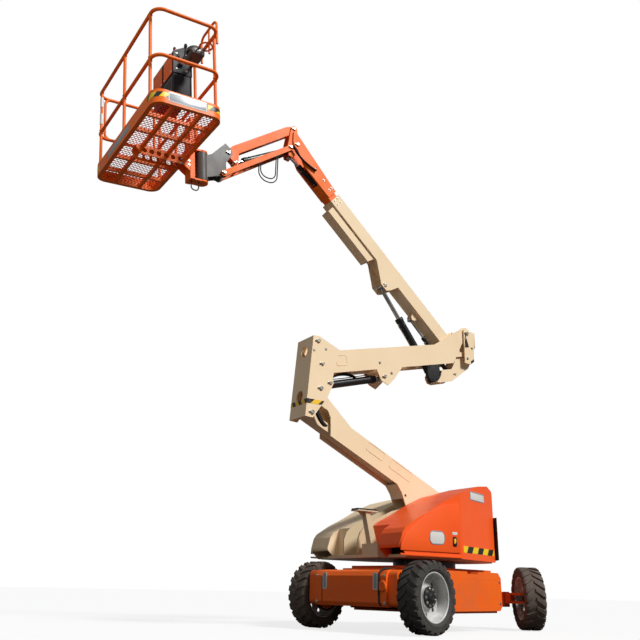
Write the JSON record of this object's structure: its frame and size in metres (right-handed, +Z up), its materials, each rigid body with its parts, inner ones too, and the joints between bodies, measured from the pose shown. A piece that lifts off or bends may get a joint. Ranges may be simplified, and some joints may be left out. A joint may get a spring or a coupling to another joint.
{
  "type": "articulating boom lift",
  "caption": "Self-propelled articulating boom lift: swinging turntable, two-arm tower, telescoping boom, jib and a railed work platform.",
  "frame": {"origin": "on the ground under the slew axis, midway between the axles", "axes": "+X towards the drive axle and the platform end, +Y to the left, +Z up"},
  "size_m": [5.7049, 2.8374, 6.1771],
  "materials": {
    "battery_case": "satin",
    "black_paint": "satin",
    "black_rubber": "matte",
    "chrome_rod": "polished",
    "console_black": "satin",
    "cream_paint": "gloss",
    "floor_mesh": "satin",
    "grey_casting": "satin",
    "hood_plastic": "gloss",
    "orange_paint": "gloss",
    "rim_silver": "satin",
    "tyre_rubber": "matte"
  },
  "bodies": {
    "chassis": {"chassis_frame": "orange_paint", "drive_axle": "orange_paint", "steer_axle": "orange_paint", "slew_bearing": "black_paint", "steer_cylinder": "black_paint"},
    "steer_rod": {"steer_rod": "chrome_rod"},
    "knuckle_left": {"knuckle_left": "grey_casting"},
    "knuckle_right": {"knuckle_right": "grey_casting"},
    "drive_wheel_left": {"drive_left_tyre": "tyre_rubber", "drive_left_rim": "rim_silver"},
    "drive_wheel_right": {"drive_right_tyre": "tyre_rubber", "drive_right_rim": "rim_silver"},
    "steer_wheel_left": {"steer_left_tyre": "tyre_rubber", "steer_left_rim": "rim_silver"},
    "steer_wheel_right": {"steer_right_tyre": "tyre_rubber", "steer_right_rim": "rim_silver"},
    "turntable": {"turntable_frame": "orange_paint", "hood_left": "hood_plastic", "hood_right": "hood_plastic", "battery_left": "battery_case", "battery_right": "battery_case", "counterweight": "black_paint", "boom_rest": "cream_paint", "rest_pad": "black_rubber"},
    "lower_boom": {"lower_boom": "cream_paint"},
    "lower_link": {"lower_link": "cream_paint"},
    "upright": {"upright": "cream_paint"},
    "mid_boom": {"mid_boom": "cream_paint"},
    "mid_link": {"mid_link": "cream_paint"},
    "boom_carrier": {"boom_carrier": "cream_paint"},
    "base_boom": {"base_boom": "cream_paint", "hose_tray": "black_paint"},
    "fly_boom": {"fly_boom": "orange_paint"},
    "level_bracket": {"level_bracket": "orange_paint"},
    "jib_beam": {"jib_beam": "orange_paint"},
    "jib_link": {"jib_link": "orange_paint", "jib_hose_inner": "black_rubber", "jib_hose_outer": "black_rubber"},
    "jib_head": {"jib_head": "grey_casting"},
    "platform": {"platform_support": "orange_paint", "platform_frame": "orange_paint", "platform_floor": "floor_mesh", "control_console": "console_black", "rotator_hose": "black_rubber"},
    "lower_lift_barrel": {"lower_lift_barrel": "black_paint"},
    "lower_lift_rod": {"lower_lift_rod": "chrome_rod"},
    "tower_lift_barrel": {"tower_lift_barrel": "black_paint"},
    "tower_lift_rod": {"tower_lift_rod": "chrome_rod"},
    "main_lift_barrel": {"main_lift_barrel": "black_paint"},
    "main_lift_rod": {"main_lift_rod": "chrome_rod"},
    "master_barrel": {"master_barrel": "black_paint"},
    "master_rod": {"master_rod": "chrome_rod"},
    "level_barrel": {"level_barrel": "black_paint"},
    "level_rod": {"level_rod": "chrome_rod"},
    "jib_lift_barrel": {"jib_lift_barrel": "black_paint"},
    "jib_lift_rod": {"jib_lift_rod": "chrome_rod"}
  },
  "joints": [
    {"name": "turntable_swing", "type": "hinge", "parent": "chassis", "child": "turntable", "pos_m": [0, 0, 0.73], "axis": [0, 0, 1], "range_deg": [-165, 190]},
    {"name": "steer_left", "type": "hinge", "parent": "chassis", "child": "knuckle_left", "pos_m": [-1.005, 0.66, 0.35], "axis": [0, 0, 1], "range_deg": [-88, 0]},
    {"name": "steer_right", "type": "hinge", "parent": "chassis", "child": "knuckle_right", "pos_m": [-1.005, -0.66, 0.35], "axis": [0, 0, 1], "range_deg": [-88.5, 0.5]},
    {"name": "steer_rod_slide", "type": "slide", "parent": "chassis", "child": "steer_rod", "axis": [0, 1, 0], "range_m": [-0.003, 0.2114]},
    {"name": "drive_wheel_left", "type": "hinge", "parent": "chassis", "child": "drive_wheel_left", "pos_m": [1.005, 0.75, 0.35], "axis": [0, 1, 0], "continuous": true},
    {"name": "steer_wheel_left", "type": "hinge", "parent": "knuckle_left", "child": "steer_wheel_left", "pos_m": [-1.06752, 0.72474, 0.35], "axis": [-0.6947, 0.7193, 0], "continuous": true},
    {"name": "drive_wheel_right", "type": "hinge", "parent": "chassis", "child": "drive_wheel_right", "pos_m": [1.005, -0.75, 0.35], "axis": [0, 1, 0], "continuous": true},
    {"name": "steer_wheel_right", "type": "hinge", "parent": "knuckle_right", "child": "steer_wheel_right", "pos_m": [-0.94248, -0.72474, 0.35], "axis": [-0.6947, 0.7193, 0], "continuous": true},
    {"name": "lower_lift", "type": "hinge", "parent": "turntable", "child": "lower_boom", "pos_m": [-0.60514, 0.13493, 1.479], "axis": [-0.2176, -0.976, 0], "range_deg": [-34, 43]},
    {"name": "lower_link_hinge", "type": "hinge", "parent": "turntable", "child": "lower_link", "pos_m": [-0.49778, 0.11099, 1.193], "axis": [-0.2176, -0.976, 0], "range_deg": [-34.5, 43.5]},
    {"name": "upright_hinge", "type": "hinge", "parent": "lower_boom", "child": "upright", "pos_m": [1.56209, -0.34831, 2.51442], "axis": [-0.2176, -0.976, 0], "range_deg": [-43.5, 34.5]},
    {"name": "mid_lift", "type": "hinge", "parent": "upright", "child": "mid_boom", "pos_m": [1.60894, -0.35876, 3.06441], "axis": [0.2176, 0.976, 0], "range_deg": [-2, 52]},
    {"name": "mid_link_hinge", "type": "hinge", "parent": "upright", "child": "mid_link", "pos_m": [1.54843, -0.34526, 2.80241], "axis": [0.2176, 0.976, 0], "range_deg": [-2.5, 52.5]},
    {"name": "carrier_hinge", "type": "hinge", "parent": "mid_boom", "child": "boom_carrier", "pos_m": [-0.71698, 0.15987, 3.65857], "axis": [0.2176, 0.976, 0], "range_deg": [-52.5, 2.5]},
    {"name": "main_lift", "type": "hinge", "parent": "boom_carrier", "child": "base_boom", "pos_m": [-0.7775, 0.17336, 3.39657], "axis": [-0.2176, -0.976, 0], "range_deg": [-28, 35]},
    {"name": "fly_extend", "type": "slide", "parent": "base_boom", "child": "fly_boom", "axis": [0.7444, -0.166, 0.6468], "range_m": [0, 1.75]},
    {"name": "bracket_hinge", "type": "hinge", "parent": "fly_boom", "child": "level_bracket", "pos_m": [1.92466, -0.42916, 5.60678], "axis": [-0.2176, -0.976, 0], "range_deg": [-35.5, 28.5]},
    {"name": "jib_lift", "type": "hinge", "parent": "level_bracket", "child": "jib_beam", "pos_m": [1.97249, -0.43982, 5.82778], "axis": [-0.2176, -0.976, 0], "range_deg": [-12, 90]},
    {"name": "jib_link_hinge", "type": "hinge", "parent": "level_bracket", "child": "jib_link", "pos_m": [2.01934, -0.45027, 5.52778], "axis": [-0.2176, -0.976, 0], "range_deg": [-12.5, 90.5]},
    {"name": "jib_head_hinge", "type": "hinge", "parent": "jib_beam", "child": "jib_head", "pos_m": [2.8216, -0.62915, 5.14809], "axis": [-0.2176, -0.976, 0], "range_deg": [-90.5, 12.5]},
    {"name": "platform_rotate", "type": "hinge", "parent": "jib_head", "child": "platform", "pos_m": [3.09651, -0.69045, 4.68979], "axis": [0.1003, -0.0224, 0.9947], "range_deg": [-90, 90]},
    {"name": "lower_lift_barrel_hinge", "type": "hinge", "parent": "turntable", "child": "lower_lift_barrel", "pos_m": [-0.80034, 0.17846, 0.82], "axis": [-0.2176, -0.976, 0], "range_deg": [-20.76, 26.13]},
    {"name": "lower_lift_rod_slide", "type": "slide", "parent": "lower_lift_barrel", "child": "lower_lift_rod", "axis": [0.884, -0.1971, 0.424], "range_m": [-0.289, 0.3647]},
    {"name": "tower_lift_barrel_hinge", "type": "hinge", "parent": "upright", "child": "tower_lift_barrel", "pos_m": [1.43619, -0.32024, 2.59641], "axis": [0.2176, 0.976, 0], "range_deg": [-2.27, 46.52]},
    {"name": "tower_lift_rod_slide", "type": "slide", "parent": "tower_lift_barrel", "child": "tower_lift_rod", "axis": [-0.9394, 0.2095, 0.2715], "range_m": [-0.0195, 0.4323]},
    {"name": "main_lift_barrel_hinge", "type": "hinge", "parent": "boom_carrier", "child": "main_lift_barrel", "pos_m": [-0.23092, 0.05149, 2.97657], "axis": [-0.2176, -0.976, 0], "range_deg": [-28.58, 35.6]},
    {"name": "main_lift_rod_slide", "type": "slide", "parent": "main_lift_barrel", "child": "main_lift_rod", "axis": [0.6052, -0.135, 0.7845], "range_m": [-0.325, 0.4056]},
    {"name": "master_barrel_hinge", "type": "hinge", "parent": "boom_carrier", "child": "master_barrel", "pos_m": [-0.54325, 0.12113, 3.07658], "axis": [-0.2176, -0.976, 0], "range_deg": [-27.66, 34.45]},
    {"name": "master_rod_slide", "type": "slide", "parent": "master_barrel", "child": "master_rod", "axis": [0.7169, -0.1599, 0.6786], "range_m": [-0.1814, 0.226]},
    {"name": "level_barrel_hinge", "type": "hinge", "parent": "fly_boom", "child": "level_barrel", "pos_m": [1.54078, -0.34356, 5.17227], "axis": [-0.2176, -0.976, 0], "range_deg": [-1.54, 1.79]},
    {"name": "level_rod_slide", "type": "slide", "parent": "level_barrel", "child": "level_rod", "axis": [0.8459, -0.1886, 0.4988], "range_m": [-0.1056, 0.0851]},
    {"name": "jib_lift_barrel_hinge", "type": "hinge", "parent": "level_bracket", "child": "jib_lift_barrel", "pos_m": [2.01934, -0.45027, 5.52778], "axis": [-0.2176, -0.976, 0], "range_deg": [-12.56, 90.95]},
    {"name": "jib_lift_rod_slide", "type": "slide", "parent": "jib_lift_barrel", "child": "jib_lift_rod", "axis": [0.8239, -0.1837, -0.5361], "range_m": [-0.0595, 0.4271]}
  ],
  "couplings": [
    {"joint": "steer_right", "follows": "steer_left", "ratio": 1},
    {"joint": "steer_rod_slide", "follows": "steer_left", "m_per_rad": -0.13569},
    {"joint": "lower_link_hinge", "follows": "lower_lift", "ratio": 1},
    {"joint": "upright_hinge", "follows": "lower_lift", "ratio": -1},
    {"joint": "mid_link_hinge", "follows": "mid_lift", "ratio": 1},
    {"joint": "carrier_hinge", "follows": "mid_lift", "ratio": -1},
    {"joint": "bracket_hinge", "follows": "main_lift", "ratio": -1},
    {"joint": "jib_link_hinge", "follows": "jib_lift", "ratio": 1},
    {"joint": "jib_head_hinge", "follows": "jib_lift", "ratio": -1},
    {"joint": "lower_lift_barrel_hinge", "follows": "lower_lift", "ratio": 0.596},
    {"joint": "lower_lift_rod_slide", "follows": "lower_lift", "m_per_rad": 0.482},
    {"joint": "tower_lift_barrel_hinge", "follows": "mid_lift", "ratio": 0.885},
    {"joint": "tower_lift_rod_slide", "follows": "mid_lift", "m_per_rad": 0.473},
    {"joint": "main_lift_barrel_hinge", "follows": "main_lift", "ratio": 1.003},
    {"joint": "main_lift_rod_slide", "follows": "main_lift", "m_per_rad": 0.659},
    {"joint": "master_barrel_hinge", "follows": "main_lift", "ratio": 0.97},
    {"joint": "master_rod_slide", "follows": "main_lift", "m_per_rad": 0.365},
    {"joint": "level_barrel_hinge", "follows": "main_lift", "ratio": 0.037},
    {"joint": "level_rod_slide", "follows": "main_lift", "m_per_rad": -0.168},
    {"joint": "jib_lift_barrel_hinge", "follows": "jib_lift", "ratio": 1.005},
    {"joint": "jib_lift_rod_slide", "follows": "jib_lift", "m_per_rad": 0.27}
  ]
}
